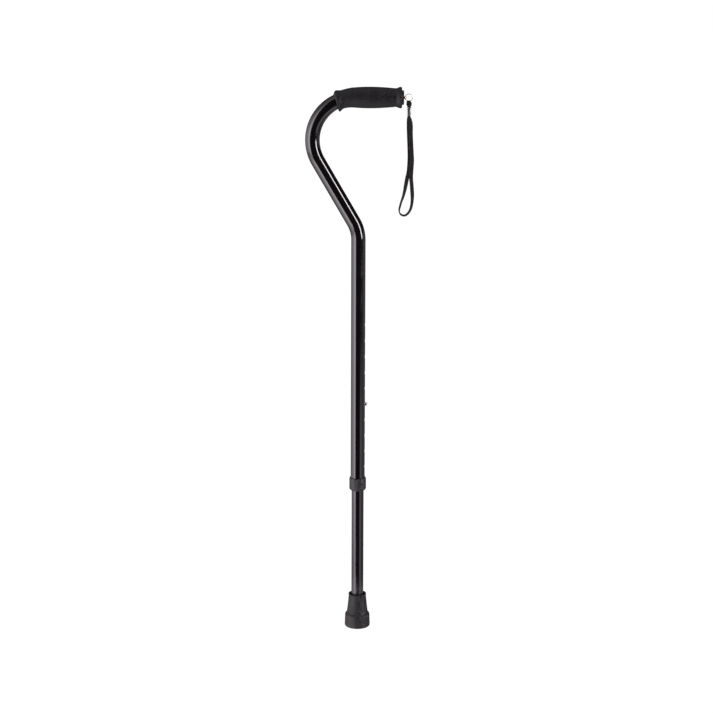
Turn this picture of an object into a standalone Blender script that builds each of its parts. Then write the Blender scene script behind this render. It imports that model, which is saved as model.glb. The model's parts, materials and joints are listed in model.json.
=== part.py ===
"""Offset-handle walking cane with a telescoping leg, a rubber tip and a wrist strap.

Frame: the origin is on the floor under the middle of the rubber tip, +Z runs up the shaft,
and +X points to the free end of the handle. The cane is mirrored about y = 0, apart from the
wrist strap, whose two legs lie one behind the other.
"""

import math

import bmesh
import bpy
from mathutils import Vector

# Driving dimensions, in metres.
INCH = 0.0254
GAP = 0.0003
WALL = 0.0012
UPPER_R = INCH * 7 / 16
LOWER_R = INCH * 3 / 8
UPPER_BORE_R = UPPER_R - WALL
LOWER_BORE_R = LOWER_R - WALL
ROUND_SIDES = 32
PIN_SIDES = 20
QUARTER_TURN = (0, math.radians(90), 0)

# Height setting: ten holes one inch apart, with the button in the sixth from the top.
HOLE_COUNT = 10
HOLE_IN_USE = 6
HOLE_PITCH = INCH
HOLE_R = 0.0031
BUTTON_Z = 0.3685
BUTTON_R = 0.00275
BUTTON_PROUD = 0.0035

# Bent handle tube: a bow from the handle down to the slant, the straight slant, which leans
# back to the shaft, and a short return bend.
HANDLE_Z = 0.8443
HANDLE_END_X = 0.0646
BOW_R = 0.0640
BOW_X = -0.0060
SLANT = math.radians(30.3)
RETURN_R = 0.0555
UPPER_END_Z = 0.2372

# Telescoping leg.
LEG_TOP_Z = 0.4185
LEG_END_Z = 0.0110
GUIDE_SPIGOT = 0.0080
GUIDE_HEAD = 0.0026
GUIDE_HEAD_R = UPPER_BORE_R - 0.00035
GUIDE_BORE_R = 0.0060
SPRING_THICK = 0.0008
SPRING_WIDTH = 0.0065
SPRING_LOW = -0.0090
SPRING_HIGH = 0.0140
BUTTON_DOME = 0.0016
BUTTON_SEAT_R = LOWER_BORE_R - 0.0007

# Locking collar and the split bushing that it squeezes.
COLLAR_Z = 0.2286
COLLAR_HEIGHT = 0.0204
COLLAR_FLAT_R = 0.0132
COLLAR_FLATS = 14
COLLAR_CORNER_EASE = 0.92
COLLET_LOW_Z = 0.2316
COLLET_STEP_Z = 0.2361
COLLET_TOP_Z = 0.2480
COLLET_TIP_R = 0.0107
COLLET_STEP_R = 0.0115
COLLET_SLOT = 0.0012
SLEEVE_R = 0.0119
SLEEVE_GAP = 0.00025

# Rubber tip.
TIP_HEIGHT = 0.0544
TIP_FOOT_R = 0.0203
TIP_BAND_TOP = 0.0205
TIP_NECK_R = 0.0142
TIP_SHOULDER_R = 0.0168
TREAD_DEPTH = 0.0018
TREAD_GROOVES = ((0.0040, 0.0062), (0.0086, 0.0108), (0.0132, 0.0154))
TIP_FLOOR_Z = 0.0090
WASHER_HOLE_R = 0.0022

# Hand grip.
GRIP_END_X = 0.0650
GRIP_WRAP = math.radians(25.5)
GRIP_TILT_SHARE = 0.54
GRIP_CROWN_R = 0.0160
GRIP_NECK_R = 0.0138
GRIP_FLANGE_R = 0.0160
GRIP_FLANGE_SHARE = 0.10
GRIP_LIP_SHARE = 0.20
GRIP_FREE_FULLNESS = 0.85
GRIP_BENT_FULLNESS = 1.3
GRIP_LIP_DROP = 0.0013
GRIP_BORE_R = UPPER_R + GAP

# Strap fittings at the free end of the handle.
PLUG_HEAD_R = 0.0108
PLUG_FACE_X = 0.0680
PLUG_STEM = 0.0180
PLUG_WEB = 0.0052
PLUG_POCKET = 0.0015
PLUG_BORE_R = 0.0018
STUD_R = 0.0028
STUD_FLANGE = 0.0007
STUD_SHANK_R = 0.0015
STUD_SHANK = 0.0090
STUD_TIP = 0.0034
STUD_FLAT = 0.0020
STUD_EYE_X = 0.0695
STUD_EYE_R = 0.00125
RING_R = 0.0055
RING_WIRE = 0.0009
RING_WIDTH = 0.0014
RING_X = STUD_EYE_X + RING_R
STRAP_X = 0.0756
CRIMP_TOP = -0.0142
CRIMP_HEIGHT = 0.0134
CRIMP_HALF = (0.00315, 0.00215)
CRIMP_BORE_HALF = (0.00275, 0.00175)

# Wrist loop: woven tape down the rear leg, round the bottom and up the front leg. Each point is
# x, y, z in millimetres and the tape's twist in degrees, 0 where its width faces along y.
TAPE_WIDTH = 0.0060
TAPE_THICK = 0.0020
TAPE_BUNCHED_WIDTH = 0.0048
TAPE_BUNCHED_THICK = 0.0010
TAPE_BUNCHED_LENGTH = 0.0072
TAPE_SPREAD_LENGTH = 0.006
TAPE_STEP = 0.0055
LOOP_ROUTE = (
    (75.6, 0.65, 823.3, 0),
    (75.6, 0.68, 815.8, 0),
    (75.3, 1.5, 805.0, 4),
    (75.9, 2.0, 787.5, 8),
    (76.9, 2.2, 765.0, 5),
    (77.0, 2.2, 749.7, 5),
    (75.9, 2.2, 733.1, 8),
    (74.0, 2.1, 723.9, 10),
    (72.3, 2.0, 714.8, 20),
    (70.6, 1.8, 705.7, 40),
    (68.5, 1.6, 696.5, 60),
    (65.4, 1.3, 687.3, 74),
    (62.8, 0.9, 678.1, 77),
    (62.1, 0.6, 673.3, 84),
    (63.2, 0.3, 669.4, 94),
    (65.6, 0.1, 667.0, 99),
    (68.6, 0.0, 666.0, 100),
    (71.7, -0.2, 666.5, 103),
    (74.8, -0.4, 668.8, 106),
    (77.9, -0.7, 672.9, 112),
    (80.1, -1.0, 678.4, 120),
    (81.5, -1.4, 687.3, 129),
    (81.8, -1.7, 696.5, 150),
    (81.3, -1.9, 705.7, 161),
    (80.5, -2.1, 714.8, 157),
    (79.7, -2.2, 723.9, 162),
    (80.0, -2.2, 733.1, 170),
    (80.9, -2.2, 749.7, 175),
    (80.1, -2.2, 765.0, 180),
    (78.8, -2.0, 787.5, 180),
    (78.4, -1.5, 805.0, 180),
    (75.6, -0.68, 815.8, 180),
    (75.6, -0.65, 823.3, 180),
)


def clear_scene():
    for piece in list(bpy.data.objects):
        bpy.data.objects.remove(piece, do_unlink=True)


def make_material(name, colour, roughness, metallic=0.0):
    material = bpy.data.materials.new(name)
    material.use_nodes = True
    shader = material.node_tree.nodes["Principled BSDF"]
    shader.inputs["Base Color"].default_value = (*colour, 1.0)
    shader.inputs["Roughness"].default_value = roughness
    shader.inputs["Metallic"].default_value = metallic
    return material


def add_empty(name, location, parent=None):
    empty = bpy.data.objects.new(name, None)
    empty.empty_display_size = 0.02
    bpy.context.collection.objects.link(empty)
    empty.parent = parent
    empty.location = location
    return empty


def add_piece(name, bm, material, location=(0, 0, 0), rotation=(0, 0, 0), parent=None):
    """A named object from a bmesh, smooth apart from its sharp edges."""
    mesh = bpy.data.meshes.new(name)
    bm.to_mesh(mesh)
    bm.free()
    mesh.shade_smooth()
    mesh.set_sharp_from_angle(angle=math.radians(35))
    piece = bpy.data.objects.new(name, mesh)
    bpy.context.collection.objects.link(piece)
    piece.parent = parent
    piece.location = location
    piece.rotation_euler = rotation
    if material:
        mesh.materials.append(material)
    return piece


def cut(piece, name, bm, location=(0, 0, 0), rotation=(0, 0, 0)):
    """Subtract a hidden cutter from a piece."""
    cutter = add_piece(name, bm, None, location, rotation, piece.parent)
    cutter.hide_render = True
    cutter.display_type = "WIRE"
    modifier = piece.modifiers.new(name, "BOOLEAN")
    modifier.operation = "DIFFERENCE"
    modifier.solver = "EXACT"
    modifier.object = cutter


def lofted(rings, wrap=False):
    """A closed mesh through rings of equal point counts. With wrap, the last ring meets the
    first, as on a hollow or an endless body; without it, both end rings are capped."""
    bm = bmesh.new()
    loops = [[bm.verts.new(point) for point in ring] for ring in rings]
    pairs = list(zip(loops, loops[1:]))
    if wrap:
        pairs.append((loops[-1], loops[0]))
    else:
        bm.faces.new(loops[0])
        bm.faces.new(loops[-1])
    for first, second in pairs:
        for i in range(len(first)):
            j = (i + 1) % len(first)
            bm.faces.new((first[i], first[j], second[j], second[i]))
    bmesh.ops.recalc_face_normals(bm, faces=bm.faces)
    return bm


def circle(radius, z, sides=ROUND_SIDES):
    turns = [2 * math.pi * i / sides for i in range(sides)]
    return [Vector((radius * math.cos(a), radius * math.sin(a), z)) for a in turns]


def turned(profile, wrap=False, sides=ROUND_SIDES):
    """A body turned about Z from (radius, z) points; wrap closes a profile that has a bore."""
    return lofted([circle(radius, z, sides) for radius, z in profile], wrap)


def boxes(corners):
    """One bmesh of boxes, each given by its low and high corner."""
    bm = bmesh.new()
    for low, high in corners:
        made = bmesh.ops.create_cube(bm, size=1.0)
        low, high = Vector(low), Vector(high)
        bmesh.ops.scale(bm, vec=high - low, verts=made["verts"])
        bmesh.ops.translate(bm, vec=(low + high) / 2, verts=made["verts"])
    return bm


def arc_steps(start, stop, step):
    """Angles from start to stop, both included, at most a step apart."""
    count = math.ceil(abs(stop - start) / step)
    return [start + (stop - start) * i / count for i in range(count + 1)]


def bow_point(angle):
    """A station on the handle's bow: its centre, and the angle that the tube has turned."""
    x = BOW_X - BOW_R * math.sin(angle)
    z = HANDLE_Z - BOW_R * (1 - math.cos(angle))
    return Vector((x, 0, z)), angle


def tube_stations():
    """The upper tube's centreline, from the handle's free end down to the lower end. Each
    station is a centre and a heading: 0 points to -X and 90 degrees points to -Z."""
    step = math.radians(6)
    bow_turn = math.radians(90) + SLANT
    stations = [(Vector((HANDLE_END_X, 0, HANDLE_Z)), 0.0)]
    stations += [bow_point(angle) for angle in arc_steps(0, bow_turn, step)]
    slant_top = stations[-1][0]
    shaft_crossing = slant_top.z + slant_top.x / math.tan(SLANT)
    return_end = shaft_crossing - RETURN_R * math.tan(SLANT / 2)
    for angle in arc_steps(SLANT, 0, step):
        x = -RETURN_R * (1 - math.cos(angle))
        z = return_end + RETURN_R * math.sin(angle)
        stations.append((Vector((x, 0, z)), math.radians(90) + angle))
    stations.append((Vector((0, 0, UPPER_END_Z)), math.radians(90)))
    return stations


def station_ring(centre, heading, radius, sides=ROUND_SIDES):
    """A circle around the centreline, square to the heading."""
    outward = Vector((-math.sin(heading), 0, math.cos(heading)))
    across = Vector((0, 1, 0))
    turns = [2 * math.pi * i / sides for i in range(sides)]
    return [centre + radius * (math.cos(a) * outward + math.sin(a) * across) for a in turns]


def hole_heights():
    top_hole = BUTTON_Z + (HOLE_IN_USE - 1) * HOLE_PITCH
    return [top_hole - i * HOLE_PITCH for i in range(HOLE_COUNT)]


def side_pins(heights, radius, start_x, end_x):
    """Cylinders along +X at each height, which cut the button holes."""
    bm = bmesh.new()
    turns = [2 * math.pi * i / PIN_SIDES for i in range(PIN_SIDES)]
    for height in heights:
        rows = []
        for x in (start_x, end_x):
            ring = [(x, radius * math.cos(a), height + radius * math.sin(a)) for a in turns]
            rows.append([bm.verts.new(point) for point in ring])
        bm.faces.new(rows[0])
        bm.faces.new(rows[1])
        for i in range(PIN_SIDES):
            j = (i + 1) % PIN_SIDES
            bm.faces.new((rows[0][i], rows[0][j], rows[1][j], rows[1][i]))
    bmesh.ops.recalc_face_normals(bm, faces=bm.faces)
    return bm


def make_upper_tube(material):
    stations = tube_stations()
    rings = [station_ring(centre, heading, UPPER_R) for centre, heading in stations]
    bore = [station_ring(centre, heading, UPPER_BORE_R) for centre, heading in stations]
    tube = add_piece("upper_tube", lofted(rings + bore[::-1], wrap=True), material)
    holes = side_pins(hole_heights(), HOLE_R, UPPER_R / 2, UPPER_R + 0.003)
    cut(tube, "height_hole_cutter", holes)


def grip_radius(share):
    """Outer radius of the grip, from its free end at 0 to its bent end at 1: a flange, a
    barrel and a flange, with rounded lips and a soft curve into each neck."""
    if share < GRIP_FLANGE_SHARE:
        inward = share / GRIP_FLANGE_SHARE
    elif share > 1 - GRIP_FLANGE_SHARE:
        inward = (1 - share) / GRIP_FLANGE_SHARE
    else:
        barrel = (share - GRIP_FLANGE_SHARE) / (1 - 2 * GRIP_FLANGE_SHARE)
        fullness = GRIP_FREE_FULLNESS if barrel < 0.5 else GRIP_BENT_FULLNESS
        rise = math.sin(math.pi * barrel) ** fullness
        return GRIP_NECK_R + (GRIP_CROWN_R - GRIP_NECK_R) * rise
    if inward < GRIP_LIP_SHARE:
        round_off = 1 - inward / GRIP_LIP_SHARE
        return GRIP_FLANGE_R - GRIP_LIP_DROP * round_off**2
    fall = (inward - GRIP_LIP_SHARE) / (1 - GRIP_LIP_SHARE)
    return GRIP_NECK_R + (GRIP_FLANGE_R - GRIP_NECK_R) * (0.5 + 0.5 * math.cos(math.pi * fall))


def make_grip(material):
    straight = GRIP_END_X - BOW_X
    length = straight + BOW_R * GRIP_WRAP
    barrel_share = 1 - 2 * GRIP_FLANGE_SHARE
    flange_steps = [GRIP_FLANGE_SHARE * i / 6 for i in range(6)]
    barrel_steps = [GRIP_FLANGE_SHARE + barrel_share * i / 18 for i in range(19)]
    shares = flange_steps + barrel_steps + [1 - step for step in flange_steps[::-1]]
    outer = []
    for share in shares:
        along = share * length
        if along <= straight:
            centre, heading = Vector((GRIP_END_X - along, 0, HANDLE_Z)), 0.0
        else:
            centre, heading = bow_point((along - straight) / BOW_R)
        outer.append(station_ring(centre, heading * GRIP_TILT_SHARE, grip_radius(share)))
    bore = [station_ring(Vector((GRIP_END_X, 0, HANDLE_Z)), 0.0, GRIP_BORE_R)]
    for angle in arc_steps(0, GRIP_WRAP, math.radians(5)):
        centre, heading = bow_point(angle)
        bore.append(station_ring(centre, heading, GRIP_BORE_R))
    add_piece("grip", lofted(outer + bore[::-1], wrap=True), material)


def make_end_plug(material):
    """Plastic plug in the handle's free end, turned about the handle's axis."""
    tube_end = HANDLE_END_X + GAP - PLUG_FACE_X
    stem_r = UPPER_BORE_R - GAP
    stem_wall = 0.0020
    pocket_r = STUD_R + STUD_FLANGE + GAP
    profile = (
        (PLUG_BORE_R, -PLUG_POCKET),
        (pocket_r, -PLUG_POCKET),
        (pocket_r, 0),
        (PLUG_HEAD_R - 0.0009, 0),
        (PLUG_HEAD_R - 0.0003, -0.0003),
        (PLUG_HEAD_R, -0.0010),
        (PLUG_HEAD_R, tube_end),
        (stem_r, tube_end),
        (stem_r - 0.0004, -PLUG_STEM),
        (stem_r - stem_wall, -PLUG_STEM),
        (stem_r - stem_wall, -PLUG_WEB),
        (PLUG_BORE_R, -PLUG_WEB),
    )
    location = (PLUG_FACE_X, 0, HANDLE_Z)
    add_piece("grip_end_plug", turned(profile, wrap=True), material, location, QUARTER_TURN)


def make_strap_stud(material):
    """Brass stud with a vertical eye, turned about the handle's axis and cut flat above and
    below its eye."""
    seat = GAP - PLUG_POCKET
    shoulder = seat + 0.0010
    profile = (
        (STUD_SHANK_R, -STUD_SHANK),
        (STUD_SHANK_R, seat),
        (STUD_R + STUD_FLANGE, seat),
        (STUD_R + STUD_FLANGE, shoulder),
        (STUD_R, shoulder),
        (STUD_R, 0.0008),
        (STUD_R - 0.0004, STUD_TIP - 0.0009),
        (STUD_R - 0.0010, STUD_TIP - 0.0002),
        (STUD_R - 0.0017, STUD_TIP),
    )
    location = Vector((PLUG_FACE_X, 0, HANDLE_Z))
    stud = add_piece("strap_stud", turned(profile, sides=24), material, location, QUARTER_TURN)
    start = PLUG_FACE_X + shoulder + 0.0001
    reach = 0.0040
    end = PLUG_FACE_X + reach
    above = ((start, -reach, HANDLE_Z + STUD_FLAT), (end, reach, HANDLE_Z + reach))
    below = ((start, -reach, HANDLE_Z - reach), (end, reach, HANDLE_Z - STUD_FLAT))
    cut(stud, "stud_flat_cutter", boxes((above, below)))
    eye = turned(((STUD_EYE_R, -reach), (STUD_EYE_R, reach)), sides=20)
    cut(stud, "stud_eye_cutter", eye, (STUD_EYE_X, 0, HANDLE_Z))


def ring_band(inner_r, outer_r, half_width, sides):
    """A flat hoop about Y."""
    section = ((inner_r, -half_width), (outer_r, -half_width), (outer_r, half_width))
    section += ((inner_r, half_width),)
    rings = []
    for i in range(sides):
        turn = 2 * math.pi * i / sides
        ring = [(r * math.cos(turn), y, r * math.sin(turn)) for r, y in section]
        rings.append(ring)
    return lofted(rings, wrap=True)


def make_split_ring(material, parent):
    half = RING_WIRE / 2
    hoop = ring_band(RING_R - half, RING_R + half, RING_WIDTH / 2, 40)
    add_piece("split_ring", hoop, material, (RING_R, 0, 0), parent=parent)


def make_ring_loop(material, parent):
    """The strap's short loop round the split ring, whose neck enters the crimp. Each level has
    its half width, its height from the middle of the ring and its half depth."""
    offset = STRAP_X - RING_X
    levels = (
        (-0.0026, -0.0039, 0.00185),
        (-0.0038, -0.0050, 0.00185),
        (-0.0040, -0.0066, 0.00185),
        (-0.0036, -0.0100, 0.00170),
        (-0.0022, -0.0139, 0.00125),
        (-0.0022, -0.0192, 0.00125),
    )
    rings = []
    for x, z, half_depth in levels:
        left, right = offset + x, offset - x
        rings.append(
            (
                (left, -half_depth, z),
                (right, -half_depth, z),
                (right, half_depth, z),
                (left, half_depth, z),
            )
        )
    loop = add_piece("strap_ring_loop", lofted(rings), material, parent=parent)
    clearance = 0.00025
    half = RING_WIRE / 2 + clearance
    passage = ring_band(RING_R - half, RING_R + half, RING_WIDTH / 2 + clearance, 40)
    cut(loop, "ring_passage_cutter", passage)


def oval(half_x, half_y, z, sides=24):
    """A rounded rectangle as a superellipse."""
    points = []
    for i in range(sides):
        turn = 2 * math.pi * i / sides
        c, s = math.cos(turn), math.sin(turn)
        x = half_x * math.copysign(abs(c) ** 0.6, c)
        y = half_y * math.copysign(abs(s) ** 0.6, s)
        points.append((x, y, z))
    return points


def make_crimp(material, parent):
    """Folded metal ferrule that joins the ring loop to the wrist loop."""
    low = CRIMP_TOP - CRIMP_HEIGHT
    edge = 0.0003
    rings = (
        oval(CRIMP_HALF[0] - edge, CRIMP_HALF[1] - edge, low),
        oval(*CRIMP_HALF, low + edge),
        oval(*CRIMP_HALF, CRIMP_TOP - edge),
        oval(CRIMP_HALF[0] - edge, CRIMP_HALF[1] - edge, CRIMP_TOP),
        oval(*CRIMP_BORE_HALF, CRIMP_TOP),
        oval(*CRIMP_BORE_HALF, low),
    )
    location = (STRAP_X - RING_X, 0, 0)
    add_piece("strap_crimp", lofted(rings, wrap=True), material, location, parent=parent)


def catmull_rom(points, t):
    """A point on a smooth curve through points, t counting whole points from the first."""
    last = len(points) - 1
    i = min(int(t), last - 1)
    t -= i
    a, b = points[max(i - 1, 0)], points[i]
    c, d = points[i + 1], points[min(i + 2, last)]
    point = []
    for p, q, r, s in zip(a, b, c, d):
        square = 2 * p - 5 * q + 4 * r - s
        cube = 3 * q - p - 3 * r + s
        point.append(0.5 * (2 * q + (r - p) * t + square * t**2 + cube * t**3))
    return point


def even_samples(points, step):
    """Samples of the smooth curve through points, an even distance apart in x, y and z."""
    fine = [catmull_rom(points, i / 20) for i in range(20 * (len(points) - 1) + 1)]
    walked = [0.0]
    for before, after in zip(fine, fine[1:]):
        walked.append(walked[-1] + math.dist(before[:3], after[:3]))
    count = round(walked[-1] / step)
    samples = []
    at = 0
    for i in range(count + 1):
        target = walked[-1] * i / count
        while at < len(fine) - 2 and walked[at + 1] < target:
            at += 1
        share = (target - walked[at]) / (walked[at + 1] - walked[at])
        samples.append([p + (q - p) * share for p, q in zip(fine[at], fine[at + 1])])
    return samples, walked[-1]


def make_wrist_loop(material, parent):
    """The wrist loop as one flat tape, bunched where it enters the crimp."""
    route = [(x / 1000, y / 1000, z / 1000, math.radians(turn)) for x, y, z, turn in LOOP_ROUTE]
    samples, length = even_samples(route, TAPE_STEP)
    pivot = Vector((RING_X, 0, HANDLE_Z))
    points = [Vector(sample[:3]) for sample in samples]
    rings = []
    for i, point in enumerate(points):
        ahead, behind = points[min(i + 1, len(points) - 1)], points[max(i - 1, 0)]
        tangent = (ahead - behind).normalized()
        in_plane = Vector((0, 1, 0)).cross(tangent).normalized()
        square = tangent.cross(in_plane)
        twist = samples[i][3]
        wide = math.cos(twist) * in_plane + math.sin(twist) * square
        flat = math.cos(twist) * square - math.sin(twist) * in_plane
        to_end = min(i, len(points) - 1 - i) * length / (len(points) - 1)
        spread = min(max((to_end - TAPE_BUNCHED_LENGTH) / TAPE_SPREAD_LENGTH, 0.0), 1.0)
        half_wide = (TAPE_BUNCHED_WIDTH + (TAPE_WIDTH - TAPE_BUNCHED_WIDTH) * spread) / 2
        half_flat = (TAPE_BUNCHED_THICK + (TAPE_THICK - TAPE_BUNCHED_THICK) * spread) / 2
        centre = point - pivot
        corners = ((-1, -1), (1, -1), (1, 1), (-1, 1))
        rings.append([centre + half_wide * w * wide + half_flat * f * flat for w, f in corners])
    add_piece("strap_wrist_loop", lofted(rings), material, parent=parent)


def make_lower_tube(material, parent):
    low, high = LEG_END_Z - BUTTON_Z, LEG_TOP_Z - BUTTON_Z
    profile = ((LOWER_R, low), (LOWER_R, high), (LOWER_BORE_R, high), (LOWER_BORE_R, low))
    tube = add_piece("lower_tube", turned(profile, wrap=True), material, parent=parent)
    hole = side_pins([0], HOLE_R, LOWER_BORE_R / 2, LOWER_R + 0.002)
    cut(tube, "button_hole_cutter", hole)


def make_leg_bushing(material, parent):
    """Nylon guide in the leg's top end, which keeps the leg from rattling in the upper tube."""
    seat = LEG_TOP_Z + GAP - BUTTON_Z
    spigot_r = LOWER_BORE_R - GAP
    top, low = seat + GUIDE_HEAD, seat - GUIDE_SPIGOT
    profile = (
        (spigot_r - 0.0003, low),
        (spigot_r, low + 0.0008),
        (spigot_r, seat),
        (GUIDE_HEAD_R, seat),
        (GUIDE_HEAD_R, top - 0.0006),
        (GUIDE_HEAD_R - 0.0005, top),
        (GUIDE_BORE_R, top),
        (GUIDE_BORE_R, low),
    )
    add_piece("leg_top_bushing", turned(profile, wrap=True), material, parent=parent)


def make_button(material, parent):
    """Snap button with a domed end, turned about X through both tubes."""
    dome_start = UPPER_R + BUTTON_PROUD - BUTTON_DOME
    profile = [(BUTTON_R, BUTTON_SEAT_R), (BUTTON_R, dome_start)]
    for angle in arc_steps(math.radians(20), math.radians(80), math.radians(20)):
        height = dome_start + BUTTON_DOME * math.sin(angle)
        profile.append((BUTTON_R * math.cos(angle), height))
    add_piece("snap_button", turned(profile, sides=24), material, (0, 0, 0), QUARTER_TURN, parent)


def make_button_spring(material, parent):
    """Hairpin leaf spring behind the button, bent from one strip."""
    leg_x = BUTTON_SEAT_R - GAP - SPRING_THICK / 2
    bend = arc_steps(0, math.pi, math.radians(15))
    line = [(leg_x, SPRING_LOW, 0.0)]
    line += [(leg_x * math.cos(a), SPRING_HIGH + leg_x * math.sin(a), a) for a in bend]
    line.append((-leg_x, SPRING_LOW, math.pi))
    side = Vector((0, SPRING_WIDTH / 2, 0))
    rings = []
    for x, z, angle in line:
        out = Vector((math.cos(angle), 0, math.sin(angle))) * (SPRING_THICK / 2)
        inner, outer = Vector((x, 0, z)) - out, Vector((x, 0, z)) + out
        rings.append((inner - side, outer - side, outer + side, inner + side))
    add_piece("button_spring", lofted(rings), material, parent=parent)


def make_collet(material):
    """Split nylon bushing: a threaded sleeve on the upper tube's end, with four fingers
    around the leg."""
    bore_r = LOWER_R + GAP
    profile = (
        (bore_r, COLLET_LOW_Z),
        (COLLET_TIP_R, COLLET_LOW_Z),
        (COLLET_STEP_R, COLLET_STEP_Z),
        (SLEEVE_R, COLLET_STEP_Z + 0.0005),
        (SLEEVE_R, COLLET_TOP_Z),
        (UPPER_R + SLEEVE_GAP, COLLET_TOP_Z),
        (UPPER_R + SLEEVE_GAP, UPPER_END_Z - GAP),
        (bore_r, UPPER_END_Z - GAP),
    )
    collet = add_piece("collet_bushing", turned(profile, wrap=True), material)
    reach = SLEEVE_R + 0.0020
    below = COLLET_LOW_Z - 0.0010
    slot_end = COLLET_STEP_Z - GAP
    half = COLLET_SLOT / 2
    along_x = ((-reach, -half, below), (reach, half, slot_end))
    along_y = ((-half, -reach, below), (half, reach, slot_end))
    cut(collet, "slot_cutter_x", boxes((along_x,)))
    cut(collet, "slot_cutter_y", boxes((along_y,)))


def flatted_ring(flat_r, z, sides):
    """A ring of points on a regular outline with COLLAR_FLATS flats and eased corners."""
    facet = 2 * math.pi / COLLAR_FLATS
    points = []
    for i in range(sides):
        turn = 2 * math.pi * i / sides
        off_flat = (turn + facet / 2) % facet - facet / 2
        radius = flat_r / math.cos(COLLAR_CORNER_EASE * off_flat)
        points.append(Vector((radius * math.cos(turn), radius * math.sin(turn), z)))
    return points


def make_lock_collar(material):
    """Locking nut with flats over the split bushing; its origin is on the shaft's axis."""
    sides = 4 * COLLAR_FLATS
    nut_bore = SLEEVE_R + SLEEVE_GAP
    cone_r = 0.01125
    leg_clear_r = LOWER_R + 0.0004
    top = COLLAR_HEIGHT
    outside = (
        (0.0112, 0.0),
        (0.0118, 0.0004),
        (COLLAR_FLAT_R, 0.0028),
        (COLLAR_FLAT_R, top - 0.0028),
        (COLLAR_FLAT_R - 0.0007, top - 0.0002),
    )
    inside = (
        (nut_bore + 0.0001, top),
        (nut_bore, top - 0.0006),
        (nut_bore, 0.0084),
        (cone_r, 0.0028),
        (cone_r, 0.0024),
        (leg_clear_r, 0.0018),
        (leg_clear_r, 0.0),
    )
    rings = [flatted_ring(radius, z, sides) for radius, z in outside]
    rings += [circle(radius, z, sides) for radius, z in inside]
    add_piece("lock_collar", lofted(rings, wrap=True), material, (0, 0, COLLAR_Z))


def make_tip(material, parent):
    """Rubber tip: a treaded foot, a rounded band, a flared neck and a blind bore."""
    centre_r = 0.0015
    wall_lean = 0.0003
    profile = [(centre_r, 0)]
    for inner, outer in TREAD_GROOVES:
        profile += [(inner, 0), (inner + wall_lean, TREAD_DEPTH)]
        profile += [(outer - wall_lean, TREAD_DEPTH), (outer, 0)]
    foot, band = TIP_FOOT_R, TIP_BAND_TOP
    profile += [(foot - 0.0014, 0), (foot - 0.0004, 0.0005), (foot, 0.0016)]
    profile += [(foot - 0.0004, band - 0.0022), (foot - 0.0008, band - 0.0004)]
    profile += [(foot - 0.0016, band + 0.0010), (foot - 0.0027, band + 0.0018)]
    neck_top = TIP_HEIGHT - 0.0016
    shoulder = band + 0.0030
    for i in range(9):
        share = 1 - i / 8
        flare = 0.7 * share + 0.3 * share**2
        radius = TIP_NECK_R + (TIP_SHOULDER_R - TIP_NECK_R) * flare
        profile.append((radius, neck_top + (shoulder - neck_top) * share))
    lip_r = TIP_NECK_R - 0.0010
    profile += [(TIP_NECK_R - 0.0002, TIP_HEIGHT - 0.0006), (lip_r, TIP_HEIGHT)]
    profile += [(lip_r - 0.0008, TIP_HEIGHT), (lip_r - 0.0015, TIP_HEIGHT - 0.0010)]
    bore_r = LOWER_R + GAP
    profile += [(lip_r - 0.0020, TIP_HEIGHT - 0.0030), (bore_r, TIP_HEIGHT - 0.0075)]
    profile += [(bore_r, TIP_FLOOR_Z), (centre_r, TIP_FLOOR_Z)]
    add_piece("ferrule", turned(profile, sides=40), material, (0, 0, -BUTTON_Z), parent=parent)


def make_washer(material, parent):
    """Steel disc under the leg's end, which keeps the tube from cutting through the rubber."""
    radius = LOWER_R - 0.0002
    low, high = TIP_FLOOR_Z + GAP, LEG_END_Z - GAP
    profile = ((radius, low), (radius, high), (WASHER_HOLE_R, high), (WASHER_HOLE_R, low))
    location = (0, 0, -BUTTON_Z)
    add_piece("ferrule_washer", turned(profile, wrap=True), material, location, parent=parent)


def build():
    clear_scene()
    enamel = make_material("gloss_black_enamel", (0.012, 0.011, 0.012), 0.18)
    anodised = make_material("dark_anodised_leg", (0.045, 0.036, 0.036), 0.34, 0.6)
    nylon = make_material("black_nylon", (0.022, 0.022, 0.024), 0.48)
    white_nylon = make_material("natural_nylon", (0.75, 0.74, 0.70), 0.45)
    tip_rubber = make_material("dark_grey_rubber", (0.040, 0.038, 0.040), 0.72)
    grip_rubber = make_material("charcoal_grip_rubber", (0.032, 0.031, 0.033), 0.66)
    brass = make_material("brass", (0.78, 0.50, 0.16), 0.28, 1.0)
    chrome = make_material("chrome", (0.82, 0.82, 0.83), 0.10, 1.0)
    steel = make_material("spring_steel", (0.55, 0.55, 0.56), 0.30, 1.0)
    tape = make_material("black_woven_tape", (0.014, 0.012, 0.013), 0.86)

    leg = add_empty("leg_slide_axis", (0, 0, BUTTON_Z))
    swivel = add_empty("ring_swivel_axis", (STUD_EYE_X, 0, HANDLE_Z))
    swing = add_empty("strap_swing_axis", (RING_R, 0, 0), swivel)

    make_upper_tube(enamel)
    make_grip(grip_rubber)
    make_end_plug(nylon)
    make_strap_stud(brass)
    make_split_ring(chrome, swivel)
    make_ring_loop(tape, swing)
    make_crimp(steel, swing)
    make_wrist_loop(tape, swing)
    make_collet(white_nylon)
    make_lock_collar(nylon)
    make_lower_tube(anodised, leg)
    make_leg_bushing(white_nylon, leg)
    make_button(steel, leg)
    make_button_spring(steel, leg)
    make_tip(tip_rubber, leg)
    make_washer(steel, leg)


build()
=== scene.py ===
"""Looks of an offset-handle walking cane: detailed pieces, materials, camera and studio light.

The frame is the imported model's: the origin is at the foot of the rubber tip, +Z runs up
the shaft, +X points to the free end of the handle. All lengths are in metres.
"""

import json
import math

import bmesh
import bpy
from mathutils import Matrix, Vector

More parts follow.
